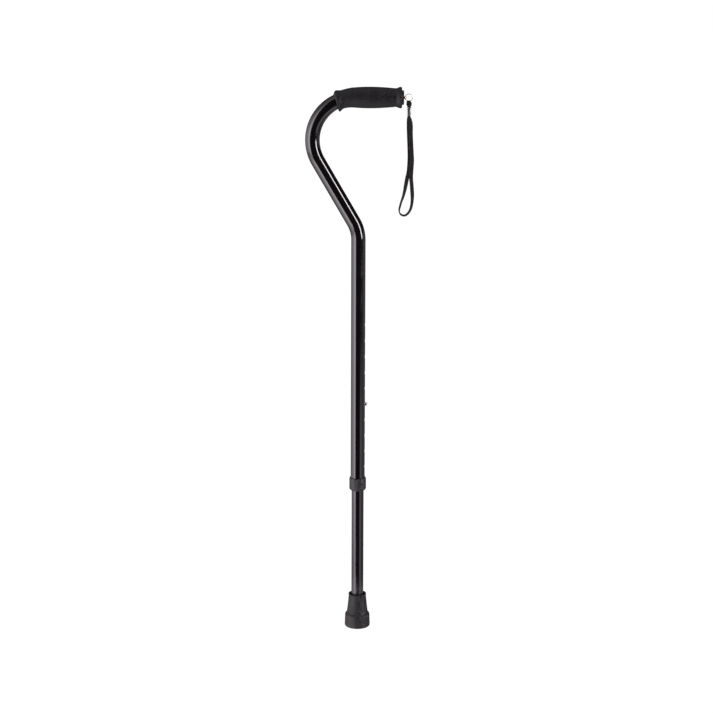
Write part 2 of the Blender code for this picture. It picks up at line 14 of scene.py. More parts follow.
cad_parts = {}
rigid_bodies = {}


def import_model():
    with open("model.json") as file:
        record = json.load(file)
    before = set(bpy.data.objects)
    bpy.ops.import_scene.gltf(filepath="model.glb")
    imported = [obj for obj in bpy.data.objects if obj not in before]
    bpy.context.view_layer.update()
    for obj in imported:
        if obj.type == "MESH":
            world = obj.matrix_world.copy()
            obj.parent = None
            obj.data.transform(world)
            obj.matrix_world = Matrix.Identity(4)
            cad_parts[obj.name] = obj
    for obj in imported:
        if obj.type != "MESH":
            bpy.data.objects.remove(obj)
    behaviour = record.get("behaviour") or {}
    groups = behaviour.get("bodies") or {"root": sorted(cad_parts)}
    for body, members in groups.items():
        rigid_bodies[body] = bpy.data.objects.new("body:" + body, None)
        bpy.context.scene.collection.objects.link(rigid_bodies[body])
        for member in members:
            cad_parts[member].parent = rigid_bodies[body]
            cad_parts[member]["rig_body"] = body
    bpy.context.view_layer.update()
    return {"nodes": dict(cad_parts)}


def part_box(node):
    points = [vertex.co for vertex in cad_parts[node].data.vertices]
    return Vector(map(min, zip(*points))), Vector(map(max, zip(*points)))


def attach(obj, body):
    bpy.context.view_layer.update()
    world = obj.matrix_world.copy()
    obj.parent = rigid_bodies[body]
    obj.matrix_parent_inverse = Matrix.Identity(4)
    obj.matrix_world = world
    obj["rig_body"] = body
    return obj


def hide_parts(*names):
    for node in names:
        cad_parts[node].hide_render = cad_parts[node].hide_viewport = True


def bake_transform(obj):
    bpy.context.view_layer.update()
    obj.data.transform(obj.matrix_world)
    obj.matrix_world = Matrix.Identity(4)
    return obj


# Sizes shared with the CAD model.
INCH = 0.0254
GAP = 0.0003
WALL = 0.0012
UPPER_R = INCH * 7 / 16
LOWER_R = INCH * 3 / 8
UPPER_BORE_R = UPPER_R - WALL
LOWER_BORE_R = LOWER_R - WALL
HOLE_COUNT = 10
HOLE_IN_USE = 6
HOLE_R = 0.0031
BUTTON_Z = 0.3685
BUTTON_R = 0.00275
BUTTON_PROUD = 0.0035
BUTTON_DOME = 0.0016
SPRING_THICK = 0.0008
HANDLE_Z = 0.8443
HANDLE_END_X = 0.0646
BOW_R = 0.0640
BOW_X = -0.0060
SLANT = math.radians(30.3)
RETURN_R = 0.0555
UPPER_END_Z = 0.2372
LEG_TOP_Z = 0.4185
LEG_END_Z = 0.0110
COLLAR_Z = 0.2286
COLLAR_HEIGHT = 0.0204
COLLAR_FLAT_R = 0.0132
COLLAR_FLATS = 14
SLEEVE_R = 0.0119
TIP_HEIGHT = 0.0544
TIP_FOOT_R = 0.0203
TIP_BAND_TOP = 0.0205
TIP_NECK_R = 0.0142
TIP_SHOULDER_R = 0.0168
TREAD_DEPTH = 0.0018
TREAD_GROOVES = ((0.0040, 0.0062), (0.0086, 0.0108), (0.0132, 0.0154))
TIP_FLOOR_Z = 0.0090
GRIP_END_X = 0.0650
GRIP_WRAP = math.radians(25.5)
GRIP_TILT_SHARE = 0.54
GRIP_CROWN_R = 0.0160
GRIP_NECK_R = 0.0138
GRIP_FLANGE_R = 0.0160
GRIP_FLANGE_SHARE = 0.10
GRIP_LIP_SHARE = 0.20
GRIP_FREE_FULLNESS = 0.85
GRIP_BENT_FULLNESS = 1.3
GRIP_LIP_DROP = 0.0013
PLUG_HEAD_R = 0.0108
PLUG_FACE_X = 0.0680
STUD_R = 0.0028
STUD_TIP = 0.0034
STUD_FLAT = 0.0020
STUD_EYE_X = 0.0695
STUD_EYE_R = 0.00125
RING_R = 0.0055
RING_WIRE = 0.0009
RING_WIDTH = 0.0014
RING_X = STUD_EYE_X + RING_R
STRAP_X = 0.0756
# The strap's fold round the ring, in heights from the middle of the ring. Its depths and
# thicknesses are halves, in the crimp and at the ring.
FOLD_LOW = -0.0190
FOLD_SHOULDER = -0.0062
FOLD_REACH = 0.00165
FOLD_SQUARENESS = 2.6
FOLD_DEPTHS = (0.00063, 0.00136)
FOLD_THICKS = (0.00048, 0.00032)
FOLD_WIDTHS = (
    (FOLD_LOW, 0.0021),
    (-0.0142, 0.0025),
    (-0.0104, 0.0041),
    (-0.0076, 0.0039),
    (FOLD_SHOULDER, 0.0028),
    (-0.0047, 0.0023),
)
CRIMP_TOP = -0.0142
CRIMP_HEIGHT = 0.0134
CRIMP_HALF = (0.00315, 0.00215)

# Wrist loop: x, y, z in millimetres and the tape's twist in degrees.
TAPE_WIDTH = 0.0060
TAPE_THICK = 0.0020
TAPE_BUNCHED_WIDTH = 0.0048
TAPE_BUNCHED_THICK = 0.0010
TAPE_BUNCHED_LENGTH = 0.0068
TAPE_SPREAD_LENGTH = 0.0045
LOOP_ROUTE = (
    (75.6, 0.65, 823.3, 0),
    (75.6, 0.68, 815.8, 0),
    (75.3, 1.5, 805.0, 4),
    (75.9, 2.0, 787.5, 8),
    (76.9, 2.2, 765.0, 5),
    (77.0, 2.2, 749.7, 5),
    (75.9, 2.2, 733.1, 8),
    (74.0, 2.1, 723.9, 10),
    (72.3, 2.0, 714.8, 20),
    (70.6, 1.8, 705.7, 40),
    (68.5, 1.6, 696.5, 60),
    (65.4, 1.3, 687.3, 74),
    (62.8, 0.9, 678.1, 77),
    (62.1, 0.6, 673.3, 84),
    (63.2, 0.3, 669.4, 94),
    (65.6, 0.1, 667.0, 99),
    (68.6, 0.0, 666.0, 100),
    (71.7, -0.2, 666.5, 103),
    (74.8, -0.4, 668.8, 106),
    (77.9, -0.7, 672.9, 112),
    (80.1, -1.0, 678.4, 120),
    (81.5, -1.4, 687.3, 129),
    (81.8, -1.7, 696.5, 150),
    (81.3, -1.9, 705.7, 161),
    (80.5, -2.1, 714.8, 157),
    (79.7, -2.2, 723.9, 162),
    (80.0, -2.2, 733.1, 170),
    (80.9, -2.2, 749.7, 175),
    (80.1, -2.2, 765.0, 180),
    (78.8, -2.0, 787.5, 180),
    (78.4, -1.5, 805.0, 180),
    (75.6, -0.68, 815.8, 180),
    (75.6, -0.65, 823.3, 180),
)

# Camera.
CAMERA_AT = (-0.0024, -2.5, 1.02)
CAMERA_PITCH = math.radians(77.045)
CAMERA_ROLL = math.radians(0.164)
CAMERA_LENS = 83.18
SENSOR = 36.0
# The leg draws out by four holes, an inch apart, and the floor lies just below that.
FLOOR_AT_Z = -4 * INCH - 0.0020

SMOOTH_ANGLE = math.radians(32)

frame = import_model()


# ---------------------------------------------------------------- mesh helpers


def add_piece(name, bm, material, sharp=SMOOTH_ANGLE):
    """A named object from a bmesh that is already in place in the row frame."""
    bmesh.ops.recalc_face_normals(bm, faces=bm.faces)
    mesh = bpy.data.meshes.new(name)
    bm.to_mesh(mesh)
    bm.free()
    mesh.shade_smooth()
    mesh.set_sharp_from_angle(angle=sharp)
    piece = bpy.data.objects.new(name, mesh)
    bpy.context.scene.collection.objects.link(piece)
    mesh.materials.append(material)
    return piece


def hand_over(piece, node):
    """The piece stands for its CAD node: it rides the same body, and the node is hidden."""
    body = frame["nodes"][node]["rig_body"]
    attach(piece, body)
    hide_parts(node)
    return piece


def lofted(rings, wrap=False):
    """A closed mesh through rings of equal point counts; wrap joins the last to the first."""
    bm = bmesh.new()
    loops = [[bm.verts.new(point) for point in ring] for ring in rings]
    pairs = list(zip(loops, loops[1:]))
    if wrap:
        pairs.append((loops[-1], loops[0]))
    else:
        bm.faces.new(loops[0])
        bm.faces.new(loops[-1])
    for first, second in pairs:
        for i in range(len(first)):
            j = (i + 1) % len(first)
            bm.faces.new((first[i], first[j], second[j], second[i]))
    return bm


def circle(radius, z, sides):
    turns = [2 * math.pi * i / sides for i in range(sides)]
    return [Vector((radius * math.cos(a), radius * math.sin(a), z)) for a in turns]


def turned(profile, sides, wrap=True):
    """A body turned about Z from (radius, z) points."""
    return lofted([circle(radius, z, sides) for radius, z in profile], wrap)


def rounded(profile, radius, steps=4, closed=True):
    """The profile with each corner that has a third value rounded to that share of radius."""
    result = []
    count = len(profile)
    for i, point in enumerate(profile):
        amount = radius * (point[2] if len(point) > 2 else 1.0)
        here = Vector(point[:2])
        if not closed and i in (0, count - 1) or amount <= 0:
            result.append(tuple(here))
            continue
        before = Vector(profile[i - 1][:2])
        after = Vector(profile[(i + 1) % count][:2])
        back, ahead = before - here, after - here
        reach = min(amount, 0.42 * back.length, 0.42 * ahead.length)
        start = here + back.normalized() * reach
        end = here + ahead.normalized() * reach
        for k in range(steps + 1):
            t = k / steps
            result.append(tuple((1 - t) ** 2 * start + 2 * t * (1 - t) * here + t**2 * end))
    return result


def along_x(bm, x, z=HANDLE_Z):
    """Turn a body made about Z so that its +Z points along +X, and move it into place."""
    turn = Matrix.Rotation(math.radians(90), 4, "Y")
    bmesh.ops.transform(bm, matrix=Matrix.Translation((x, 0, z)) @ turn, verts=bm.verts)
    return bm


def cut(piece, cutters):
    """Subtract meshes from a piece and keep the result as its plain mesh."""
    for cutter_bm in cutters:
        bmesh.ops.recalc_face_normals(cutter_bm, faces=cutter_bm.faces)
        mesh = bpy.data.meshes.new("cutter")
        cutter_bm.to_mesh(mesh)
        cutter_bm.free()
        cutter = bpy.data.objects.new("cutter", mesh)
        bpy.context.scene.collection.objects.link(cutter)
        modifier = piece.modifiers.new("cut", "BOOLEAN")
        modifier.operation = "DIFFERENCE"
        modifier.solver = "EXACT"
        modifier.object = cutter
        bpy.context.view_layer.update()
        result = bpy.data.meshes.new_from_object(
            piece.evaluated_get(bpy.context.evaluated_depsgraph_get())
        )
        piece.modifiers.clear()
        old = piece.data
        piece.data = result
        bpy.data.meshes.remove(old)
        bpy.data.objects.remove(cutter)
        bpy.data.meshes.remove(mesh)
    piece.data.shade_smooth()
    piece.data.set_sharp_from_angle(angle=SMOOTH_ANGLE)
    return piece


def round_shading(piece, radius):
    """Exact normals on the outside of a tube about the shaft's axis, so that faces cut by
    holes shade as one cylinder. Other corners keep their own normals."""
    mesh = piece.data
    normals = [(0.0, 0.0, 0.0)] * len(mesh.loops)
    limit = return_bend_z()
    for face in mesh.polygons:
        points = [mesh.vertices[mesh.loops[k].vertex_index].co for k in face.loop_indices]
        on_tube = all(abs(math.hypot(p.x, p.y) - radius) < 2e-5 and p.z < limit for p in points)
        if on_tube and abs(face.normal.z) < 0.1:
            for k, p in zip(face.loop_indices, points):
                normals[k] = (p.x / radius, p.y / radius, 0.0)
    mesh.normals_split_custom_set(normals)


def arc_steps(start, stop, step):
    count = math.ceil(abs(stop - start) / step)
    return [start + (stop - start) * i / count for i in range(count + 1)]


def bow_point(angle):
    x = BOW_X - BOW_R * math.sin(angle)
    z = HANDLE_Z - BOW_R * (1 - math.cos(angle))
    return Vector((x, 0, z)), angle


def return_bend_z():
    """Height where the return bend ends and the straight shaft begins."""
    slant_top = bow_point(math.radians(90) + SLANT)[0]
    shaft_crossing = slant_top.z + slant_top.x / math.tan(SLANT)
    return shaft_crossing - RETURN_R * math.tan(SLANT / 2)


def tube_stations():
    """The upper tube's centreline from the handle's free end down, as centres and headings."""
    step = math.radians(2)
    stations = [(Vector((HANDLE_END_X, 0, HANDLE_Z)), 0.0)]
    stations += [bow_point(a) for a in arc_steps(0, math.radians(90) + SLANT, step)]
    for angle in arc_steps(SLANT, 0, step):
        x = -RETURN_R * (1 - math.cos(angle))
        z = return_bend_z() + RETURN_R * math.sin(angle)
        stations.append((Vector((x, 0, z)), math.radians(90) + angle))
    stations.append((Vector((0, 0, UPPER_END_Z)), math.radians(90)))
    return stations


def station_ring(centre, heading, radius, sides):
    outward = Vector((-math.sin(heading), 0, math.cos(heading)))
    across = Vector((0, 1, 0))
    turns = [2 * math.pi * i / sides for i in range(sides)]
    return [centre + radius * (math.cos(a) * outward + math.sin(a) * across) for a in turns]


def side_hole(height, tube_r, sides=40):
    """Cutter along +X for one button hole, flared where it meets the tube's outside so that
    the hole keeps an eased edge."""
    ease = 0.0003
    turns = [2 * math.pi * i / sides for i in range(sides)]
    rings = []
    for radius, x_from_skin in ((HOLE_R, None), (HOLE_R, -ease), (HOLE_R + ease, 2e-5)):
        ring = []
        for a in turns:
            y, z = radius * math.cos(a), radius * math.sin(a)
            skin = math.sqrt(tube_r**2 - y**2)
            x = tube_r / 2 if x_from_skin is None else skin + x_from_skin
            ring.append((x, y, height + z))
        rings.append(ring)
    flare = HOLE_R + ease
    rings.append([(tube_r + 0.003, flare * math.cos(a), height + flare * math.sin(a)) for a in turns])
    return lofted(rings)


# ---------------------------------------------------------------- metal tubes


def make_upper_tube(material):
    sides = 96
    stations = tube_stations()
    ease = 0.0003
    first, last = stations[0], stations[-1]
    start_eased = (first[0] - Vector((ease, 0, 0)), first[1])
    end_eased = (last[0] + Vector((0, 0, ease)), last[1])
    body = [start_eased] + stations[1:-1] + [end_eased]
    rings = [station_ring(*first, UPPER_R - ease, sides)]
    rings += [station_ring(*station, UPPER_R, sides) for station in body]
    rings.append(station_ring(*last, UPPER_R - ease, sides))
    bore = [station_ring(*station, UPPER_BORE_R, sides) for station in stations]
    tube = add_piece("upper_tube_shell", lofted(rings + bore[::-1], wrap=True), material)
    top_hole = BUTTON_Z + (HOLE_IN_USE - 1) * INCH
    cut(tube, [side_hole(top_hole - i * INCH, UPPER_R) for i in range(HOLE_COUNT)])
    round_shading(tube, UPPER_R)
    return hand_over(tube, "upper_tube")


def make_lower_tube(material):
    profile = rounded(
        (
            (LOWER_R, LEG_END_Z),
            (LOWER_R, LEG_TOP_Z),
            (LOWER_BORE_R, LEG_TOP_Z),
            (LOWER_BORE_R, LEG_END_Z),
        ),
        0.0003,
    )
    tube = add_piece("leg_tube_shell", turned(profile, 96), material)
    cut(tube, [side_hole(BUTTON_Z, LOWER_R)])
    round_shading(tube, LOWER_R)
    return hand_over(tube, "lower_tube")


def make_button(material):
    """Snap button: a pin with a domed end."""
    inner = LOWER_BORE_R - 0.0007
    tip = UPPER_R + BUTTON_PROUD
    profile = [(0.0002, inner), (BUTTON_R - 0.0002, inner), (BUTTON_R, inner + 0.0002)]
    for angle in arc_steps(0, math.radians(88), math.radians(8)):
        profile.append((BUTTON_R * math.cos(angle), tip - BUTTON_DOME * (1 - math.sin(angle))))
    pin = along_x(turned(profile, 48, wrap=False), 0, BUTTON_Z)
    return hand_over(add_piece("button_pin", pin, material), "snap_button")


def make_spring(material):
    """Hairpin leaf spring bent from one strip."""
    low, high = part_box("button_spring")
    reach = high[0] - SPRING_THICK / 2
    foot, bend = low[2], high[2] - high[0]
    rows = 12
    straight = [foot + (bend - foot) * i / rows for i in range(rows)]
    line = [(reach, z, 0.0) for z in straight]
    turns = arc_steps(0, math.pi, math.radians(6))
    line += [(reach * math.cos(a), bend + reach * math.sin(a), a) for a in turns]
    line += [(-reach, z, math.pi) for z in reversed(straight)]
    half_thick, half_wide, ease = SPRING_THICK / 2, high[1], 0.00018
    section = []
    for u, v in ((-1, -1), (1, -1), (1, 1), (-1, 1)):
        near_end = (u * half_thick, v * (half_wide - ease))
        near_face = (u * (half_thick - ease), v * half_wide)
        section += [near_end, near_face] if u * v > 0 else [near_face, near_end]
    rings = []
    for x, z, angle in line:
        out = Vector((math.cos(angle), 0, math.sin(angle)))
        rings.append([Vector((x, v, z)) + out * u for u, v in section])
    spring = add_piece("button_spring_strip", lofted(rings), material)
    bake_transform(spring)
    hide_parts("button_spring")
    return spring


# ---------------------------------------------------------------- grip and fittings


def grip_radius(share):
    """Outer radius along the grip: a flange, a barrel and a flange with rounded lips."""
    if share < GRIP_FLANGE_SHARE:
        inward = share / GRIP_FLANGE_SHARE
    elif share > 1 - GRIP_FLANGE_SHARE:
        inward = (1 - share) / GRIP_FLANGE_SHARE
    else:
        barrel = (share - GRIP_FLANGE_SHARE) / (1 - 2 * GRIP_FLANGE_SHARE)
        fullness = GRIP_FREE_FULLNESS if barrel < 0.5 else GRIP_BENT_FULLNESS
        rise = math.sin(math.pi * barrel) ** fullness
        return GRIP_NECK_R + (GRIP_CROWN_R - GRIP_NECK_R) * rise
    if inward < GRIP_LIP_SHARE:
        round_off = 1 - inward / GRIP_LIP_SHARE
        return GRIP_FLANGE_R - GRIP_LIP_DROP * round_off**2
    fall = (inward - GRIP_LIP_SHARE) / (1 - GRIP_LIP_SHARE)
    return GRIP_NECK_R + (GRIP_FLANGE_R - GRIP_NECK_R) * (0.5 + 0.5 * math.cos(math.pi * fall))


def make_grip(material):
    """Moulded rubber grip with flanged ends and a fine parting ridge above and below."""
    sides = 120
    straight = GRIP_END_X - BOW_X
    length = straight + BOW_R * GRIP_WRAP
    steps = 150
    ridge_height, ridge_width = 0.00012, math.radians(2.5)
    outer = []
    for i in range(steps + 1):
        share = 0.5 - 0.5 * math.cos(math.pi * i / steps) if i else 0.0
        share = 0.6 * share + 0.4 * i / steps
        along = share * length
        if along <= straight:
            centre, heading = Vector((GRIP_END_X - along, 0, HANDLE_Z)), 0.0
        else:
            centre, heading = bow_point((along - straight) / BOW_R)
        ring = station_ring(centre, heading * GRIP_TILT_SHARE, 1.0, sides)
        radius = grip_radius(share)
        points = []
        for k, point in enumerate(ring):
            turn = 2 * math.pi * k / sides
            off = abs(math.remainder(turn, math.pi))
            ridge = ridge_height * max(0.0, 1 - off / ridge_width)
            points.append(centre + (point - centre) * (radius + ridge))
        outer.append(points)
    bore_r = UPPER_R + GAP
    bore = [station_ring(Vector((GRIP_END_X, 0, HANDLE_Z)), 0.0, bore_r, sides)]
    for angle in arc_steps(0, GRIP_WRAP, math.radians(3)):
        bore.append(station_ring(*bow_point(angle), bore_r, sides))
    grip = add_piece("grip_rubber_sleeve", lofted(outer + bore[::-1], wrap=True), material)
    return hand_over(grip, "grip")


def make_end_plug(material):
    tube_end = HANDLE_END_X + GAP - PLUG_FACE_X
    stem_r = UPPER_BORE_R - GAP
    pocket_r = STUD_R + 0.0010
    profile = (
        (0.0018, -0.0015),
        (pocket_r, -0.0015),
        (pocket_r, -0.0001),
        (pocket_r + 0.0012, 0),
        (0.0072, -0.0001),
        (0.0076, -0.0005),
        (0.0080, -0.0001),
        (PLUG_HEAD_R, 0, 2.5),
        (PLUG_HEAD_R, tube_end),
        (stem_r, tube_end),
        (stem_r - 0.0004, -0.0180),
        (stem_r - 0.0020, -0.0180),
        (stem_r - 0.0020, -0.0052),
        (0.0018, -0.0052),
    )
    plug = along_x(turned(rounded(profile, 0.0003), 96), PLUG_FACE_X)
    return hand_over(add_piece("plug_cap", plug, material), "grip_end_plug")


def make_stud(material):
    """Brass stud, rounded at its nose, flattened above and below its vertical eye."""
    seat = -0.0012
    profile = [
        (0.0002, -0.0090),
        (0.0015, -0.0090),
        (0.0015, seat),
        (STUD_R + 0.0007, seat),
        (STUD_R + 0.0007, seat + 0.0010),
        (STUD_R, seat + 0.0010),
    ]
    nose_r = 0.0019
    for angle in arc_steps(0, math.radians(84), math.radians(12)):
        radius = STUD_R - nose_r * (1 - math.cos(angle))
        profile.append((radius, STUD_TIP - nose_r * (1 - math.sin(angle))))
    stud = add_piece("stud_brass", along_x(turned(profile, 64, wrap=False), PLUG_FACE_X), material)
    reach = 0.0045
    slabs = []
    for side in (1, -1):
        near, far = HANDLE_Z + side * STUD_FLAT, HANDLE_Z + side * reach
        corners = [(-reach, near), (reach, near), (reach, far), (-reach, far)]
        start = PLUG_FACE_X - 0.0001
        slabs.append(lofted([[(x, y, z) for y, z in corners] for x in (start, start + 0.006)]))
    eye = turned(((STUD_EYE_R, -reach), (STUD_EYE_R, reach)), 32, wrap=False)
    bmesh.ops.translate(eye, vec=(STUD_EYE_X, 0, HANDLE_Z), verts=eye.verts)
    cut(stud, slabs + [eye])
    return hand_over(stud, "strap_stud")


def swept(path, half_out, half_side, corner, frames, per_corner=3):
    """A rounded-rectangle section swept along a path. frames holds the out and side vectors."""
    section = []
    for sx, sy, start in ((1, 1, 0), (-1, 1, 90), (-1, -1, 180), (1, -1, 270)):
        for k in range(per_corner + 1):
            a = math.radians(start + 90 * k / per_corner)
            u = sx * (half_out - corner) + corner * math.cos(a)
            section.append((u, sy * (half_side - corner) + corner * math.sin(a)))
    rings = []
    for point, (out, side) in zip(path, frames):
        rings.append([point + out * u + side * v for u, v in section])
    return lofted(rings)


def make_split_ring(material):
    """Key ring of flat wire wound twice, with the cross-over where the wire changes layer."""
    centre = Vector((RING_X, 0, HANDLE_Z))
    layer = RING_WIDTH / 4
    turns_total = 2.0
    steps = 176
    path, frames = [], []
    start = math.radians(38)
    for i in range(steps + 1):
        share = i / steps
        angle = start + 2 * math.pi * turns_total * share * 0.985
        shift = (share - 0.5) * 2 * math.pi * turns_total
        blend_share = min(max(0.5 + shift / math.radians(70), 0.0), 1.0)
        y = -layer + 2 * layer * blend_share**2 * (3 - 2 * blend_share)
        out = Vector((math.cos(angle), 0, math.sin(angle)))
        path.append(centre + RING_R * out + Vector((0, y, 0)))
        frames.append((out, Vector((0, 1, 0))))
    ring = swept(path, RING_WIRE / 2, layer - 0.00002, 0.00022, frames)
    return hand_over(add_piece("key_ring_wire", ring, material), "split_ring")


def eased(share):
    """A share held between 0 and 1, with a soft start and a soft stop."""
    share = min(max(share, 0.0), 1.0)
    return share * share * (3 - 2 * share)


def fold_half_width(z):
    for (z0, w0), (z1, w1) in zip(FOLD_WIDTHS, FOLD_WIDTHS[1:]):
        if z <= z1:
            return w0 + (w1 - w0) * eased((z - z0) / (z1 - z0))
    return FOLD_WIDTHS[-1][1]


def fold_half_depth(z):
    """From the fold's middle to either layer: close in the crimp, apart round the ring."""
    low, high = FOLD_DEPTHS
    return low + (high - low) * eased((z + 0.0145) / 0.0055)


def fold_half_thick(z):
    low, high = FOLD_THICKS
    return low + (high - low) * min(max((z + 0.0095) / 0.0025, 0.0), 1.0)


def fold_line():
    """The fold's middle line up one layer, over the wire and down the other, as (y, z)."""
    heights = [FOLD_LOW + (FOLD_SHOULDER - FOLD_LOW) * k / 12 for k in range(13)]
    power = 2 / FOLD_SQUARENESS
    line = [(-fold_half_depth(z), z) for z in heights]
    for k in range(1, 12):
        a = math.pi * k / 12
        lean = math.copysign(abs(math.cos(a)) ** power, math.cos(a))
        z = FOLD_SHOULDER + FOLD_REACH * math.sin(a) ** power
        line.append((-fold_half_depth(FOLD_SHOULDER) * lean, z))
    return line + [(fold_half_depth(z), z) for z in reversed(heights)]


def make_ring_loop(material):
    """Tape folded over the ring, both layers gathered into the crimp below. It is drawn thin
    over the wire, and its arch is squared so that it passes clear round the wire's corners."""
    centre = Vector((RING_X, 0, HANDLE_Z))
    offset_x = STRAP_X - RING_X
    line = fold_line()
    across = 9
    rings = []
    for i, (y, z) in enumerate(line):
        before, after = line[max(i - 1, 0)], line[min(i + 1, len(line) - 1)]
        ty, tz = after[0] - before[0], after[1] - before[1]
        size = math.hypot(ty, tz)
        ny, nz = -tz / size, ty / size
        near_ring = min(max((z + 0.0085) / 0.0025, 0), 1)
        ring = []
        for side, order in ((1, range(across)), (-1, range(across - 1, -1, -1))):
            for k in order:
                u = -1 + 2 * k / (across - 1)
                off = side * fold_half_thick(z) * (1 - 0.35 * abs(u) ** 6)
                x = offset_x * (1 - near_ring) + fold_half_width(z) * u
                lift = RING_R - math.sqrt(max(RING_R**2 - x**2, 0))
                point = Vector((x, y + off * ny, z + off * nz + lift * near_ring))
                ring.append(centre + point)
        rings.append(ring)
    loop = add_piece("strap_ring_fold", lofted(rings), material)
    lay_uvs(loop, 2 * across, 2 * 0.0037, 0.0009)
    return hand_over(loop, "strap_ring_loop")


def lay_uvs(piece, around, width, step):
    """UVs in metres on a lofted strip: across its width, and along its length."""
    mesh = piece.data
    layer = mesh.uv_layers.new(name="strip")
    half = around // 2
    for loop in mesh.loops:
        ring, spot = divmod(loop.vertex_index, around)
        across = spot if spot < half else around - 1 - spot
        layer.data[loop.index].uv = (width * across / (half - 1), step * ring)


def make_crimp(material):
    """Band of sheet metal rolled round the tape, its two edges turned in at the front."""
    thick = 0.00048
    low, high = CRIMP_TOP - CRIMP_HEIGHT, CRIMP_TOP
    centre = Vector((STRAP_X, 0, HANDLE_Z))
    path = []
    steps = 64
    gap_half = math.radians(7)
    half_x, half_y = CRIMP_HALF[0] - thick / 2, CRIMP_HALF[1] - thick / 2
    for i in range(steps + 1):
        a = -math.pi / 2 + gap_half + (2 * math.pi - 2 * gap_half) * i / steps
        c, s = math.cos(a), math.sin(a)
        x = half_x * math.copysign(abs(c) ** 0.62, c)
        y = half_y * math.copysign(abs(s) ** 0.62, s)
        path.append(Vector((x, y, 0)))
    dip = 0.00022
    levels = []
    rows = 14
    for k in range(rows + 1):
        z = low + (high - low) * k / rows
        ease = min(k, rows - k)
        levels.append((z, 0.00016 if ease == 0 else 0.0))
    bm = bmesh.new()
    grid = []
    for z, pull in levels:
        outer, inner = [], []
        for i, p in enumerate(path):
            before, after = path[max(i - 1, 0)], path[min(i + 1, steps)]
            tangent = (after - before).normalized()
            normal = Vector((tangent.y, -tangent.x, 0))
            turned_in = dip * max(0.0, 1 - min(i, steps - i) / 3)
            outer.append(centre + p + normal * (thick / 2 - pull - turned_in) + Vector((0, 0, z)))
            inner.append(centre + p - normal * (thick / 2 - pull + turned_in * 0.2) + Vector((0, 0, z)))
        grid.append([bm.verts.new(v) for v in outer + inner[::-1]])
    count = len(grid[0])
    for first, second in zip(grid, grid[1:]):
        for i in range(count):
            j = (i + 1) % count
            bm.faces.new((first[i], first[j], second[j], second[i]))
    for ring in (grid[0], grid[-1]):
        half = count // 2
        for i in range(half - 1):
            bm.faces.new((ring[i], ring[i + 1], ring[count - 2 - i], ring[count - 1 - i]))
    crimp = add_piece("strap_crimp_band", bm, material)
    return hand_over(crimp, "strap_crimp")


# ---------------------------------------------------------------- wrist loop


def catmull_rom(points, t):
    """A point on a smooth curve through points, t counting whole points from the first."""
    last = len(points) - 1
    i = min(int(t), last - 1)
    t -= i
    a, b = points[max(i - 1, 0)], points[i]
    c, d = points[i + 1], points[min(i + 2, last)]
    point = []
    for p, q, r, s in zip(a, b, c, d):
        square = 2 * p - 5 * q + 4 * r - s
        cube = 3 * q - p - 3 * r + s
        point.append(0.5 * (2 * q + (r - p) * t + square * t**2 + cube * t**3))
    return point


def even_samples(points, step):
    """Samples of the smooth curve through points, an even distance apart, and its length."""
    fine = [catmull_rom(points, i / 40) for i in range(40 * (len(points) - 1) + 1)]
    walked = [0.0]
    for before, after in zip(fine, fine[1:]):
        walked.append(walked[-1] + math.dist(before[:3], after[:3]))
    count = round(walked[-1] / step)
    samples = []
    at = 0
    for i in range(count + 1):
        target = walked[-1] * i / count
        while at < len(fine) - 2 and walked[at + 1] < target:
            at += 1
        share = (target - walked[at]) / (walked[at + 1] - walked[at])
        samples.append([p + (q - p) * share for p, q in zip(fine[at], fine[at + 1])])
    return samples, walked[-1]


def make_wrist_loop(material):
    """Flat woven tape with thicker woven edges, bunched where it enters the crimp."""
    route = [(x / 1000, y / 1000, z / 1000, math.radians(turn)) for x, y, z, turn in LOOP_ROUTE]
    step = 0.0010
    samples, length = even_samples(route, step)
    points = [Vector(sample[:3]) for sample in samples]
    across = 13
    rings = []
    for i, point in enumerate(points):
        ahead, behind = points[min(i + 1, len(points) - 1)], points[max(i - 1, 0)]
        tangent = (ahead - behind).normalized()
        in_plane = Vector((0, 1, 0)).cross(tangent).normalized()
        square = tangent.cross(in_plane)
        twist = samples[i][3]
        wide = math.cos(twist) * in_plane + math.sin(twist) * square
        flat = math.cos(twist) * square - math.sin(twist) * in_plane
        to_end = min(i, len(points) - 1 - i) * length / (len(points) - 1)
        open_share = eased((to_end - TAPE_BUNCHED_LENGTH) / TAPE_SPREAD_LENGTH)
        half_wide = (TAPE_BUNCHED_WIDTH + (TAPE_WIDTH - TAPE_BUNCHED_WIDTH) * open_share) / 2
        half_flat = (TAPE_BUNCHED_THICK + (TAPE_THICK - TAPE_BUNCHED_THICK) * open_share) / 2
        pick = 1 + 0.05 * math.sin(2 * math.pi * i * step / 0.004)
        ring = []
        for side, order in ((1, range(across)), (-1, range(across - 1, -1, -1))):
            for k in order:
                u = -1 + 2 * k / (across - 1)
                selvedge = 0.86 + 0.14 * math.exp(-(((abs(u) - 0.86) / 0.10) ** 2))
                round_off = math.sqrt(max(1 - abs(u) ** 10, 0.12))
                height = half_flat * selvedge * round_off * pick
                ring.append(point + half_wide * u * wide + side * height * flat)
        rings.append(ring)
    loop = add_piece("wrist_loop_tape", lofted(rings), material, math.radians(75))
    lay_uvs(loop, 2 * across, TAPE_WIDTH, length / (len(points) - 1))
    return hand_over(loop, "strap_wrist_loop"), points, length


# ---------------------------------------------------------------- collar and tip


